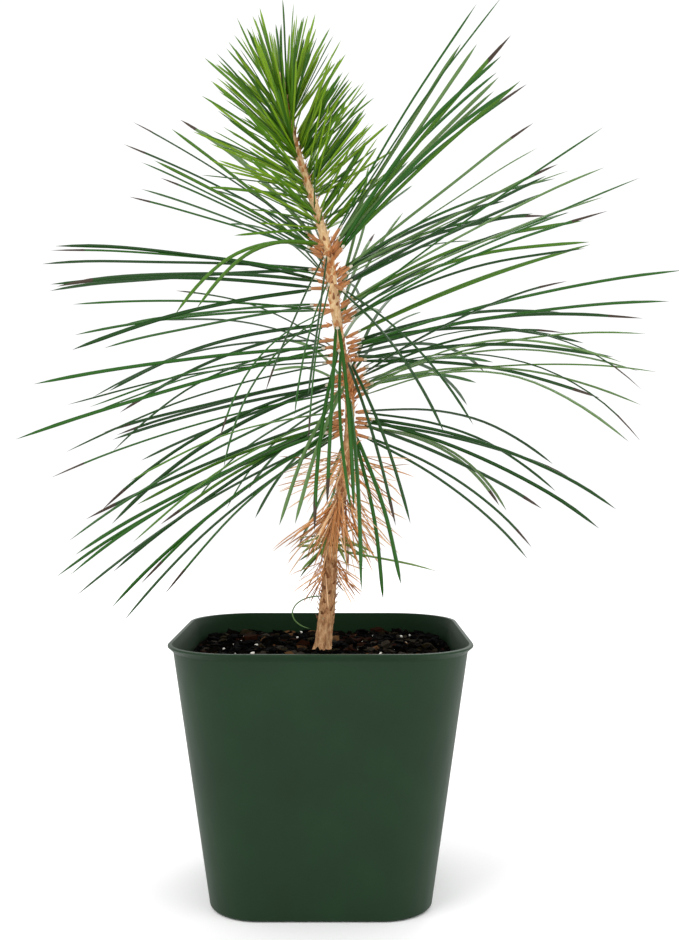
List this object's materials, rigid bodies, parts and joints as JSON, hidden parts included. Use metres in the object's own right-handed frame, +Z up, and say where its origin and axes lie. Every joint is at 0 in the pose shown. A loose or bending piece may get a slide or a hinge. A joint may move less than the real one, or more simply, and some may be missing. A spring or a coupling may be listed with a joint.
{
  "type": "young black pine in a square nursery pot",
  "caption": "Young black pine with one leaning stem, a tuft of short needles and whorls of long ones, in a square pot filled with potting mix.",
  "frame": {"origin": "centre of the pot's flat underside", "axes": "+Z up, +X to the right and -Y to the front of the plant as pictured"},
  "size_m": [0.2308, 0.1857, 0.3133],
  "materials": {
    "pot_plastic": "satin dark green",
    "mix_crumbs": "crumbly, dark brown",
    "bark": "flaky brown bark",
    "candle_needles": "bright green, slightly glossy",
    "long_needles": "deep green, slightly glossy",
    "dry_needles": "dry, orange-brown",
    "shoot_needles": "yellow-green, matte"
  },
  "bodies": {
    "root": {"candle_base_back": "candle_needles", "candle_base_left": "candle_needles", "candle_base_right": "candle_needles", "candle_foot_back": "candle_needles", "candle_foot_left": "candle_needles", "candle_foot_right": "candle_needles", "candle_middle_back": "candle_needles", "candle_middle_left": "candle_needles", "candle_middle_right": "candle_needles", "candle_top_back": "candle_needles", "candle_top_left": "candle_needles", "candle_top_right": "candle_needles", "dry_high_back": "dry_needles", "dry_high_left": "dry_needles", "dry_high_right": "dry_needles", "dry_low_back": "dry_needles", "dry_low_left": "dry_needles", "dry_low_right": "dry_needles", "dry_middle_back": "dry_needles", "dry_middle_left": "dry_needles", "dry_middle_right": "dry_needles", "lower_whorl_back": "long_needles", "lower_whorl_front": "long_needles", "lower_whorl_left": "long_needles", "lower_whorl_right": "long_needles", "lowest_whorl_back": "long_needles", "lowest_whorl_front": "long_needles", "lowest_whorl_left": "long_needles", "lowest_whorl_right": "long_needles", "middle_high_back": "long_needles", "middle_high_front": "long_needles", "middle_high_left": "long_needles", "middle_high_right": "long_needles", "middle_low_back": "long_needles", "middle_low_front": "long_needles", "middle_low_left": "long_needles", "middle_low_right": "long_needles", "pot": "pot_plastic", "potting_mix": "mix_crumbs", "shoot_left": "shoot_needles", "shoot_right": "shoot_needles", "trunk": "bark", "upper_bough_back": "long_needles", "upper_bough_front": "long_needles", "upper_bough_left": "long_needles", "upper_bough_right": "long_needles", "upper_whorl_back": "long_needles", "upper_whorl_front": "long_needles", "upper_whorl_left": "long_needles", "upper_whorl_right": "long_needles"}
  },
  "joints": []
}
